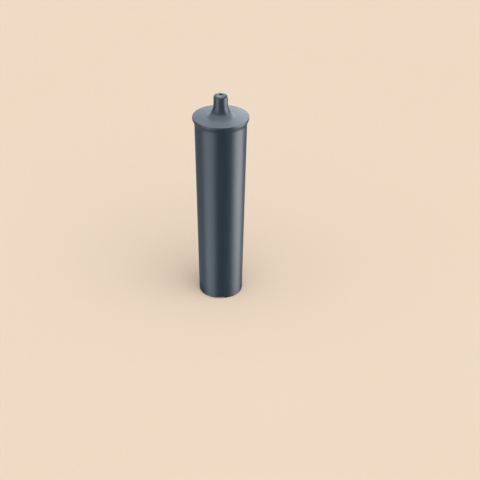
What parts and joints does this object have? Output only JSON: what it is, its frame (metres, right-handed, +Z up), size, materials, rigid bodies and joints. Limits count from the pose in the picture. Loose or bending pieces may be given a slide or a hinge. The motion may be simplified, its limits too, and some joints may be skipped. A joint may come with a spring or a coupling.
{
  "type": "coffee machine water filter",
  "caption": "Slim tapered water filter cartridge with a flanged cap and a flared outlet nozzle, which stands in the water tank of a coffee machine.",
  "frame": {"origin": "centre of the foot, on the surface that the cartridge stands on", "axes": "+Z up the cartridge's axis towards the nozzle; X and Y run through the notches of the foot"},
  "size_m": [0.054, 0.054, 0.2133],
  "materials": {
    "housing_plastic": "satin",
    "cap_plastic": "fine grain",
    "transponder": "amber film",
    "fleece": "felted fibre",
    "granulate": "packed beads"
  },
  "bodies": {
    "root": {"housing": "housing_plastic", "cap": "cap_plastic", "transponder_ring": "transponder", "lower_fleece": "fleece", "filter_bed": "granulate", "upper_fleece": "fleece"}
  },
  "joints": []
}
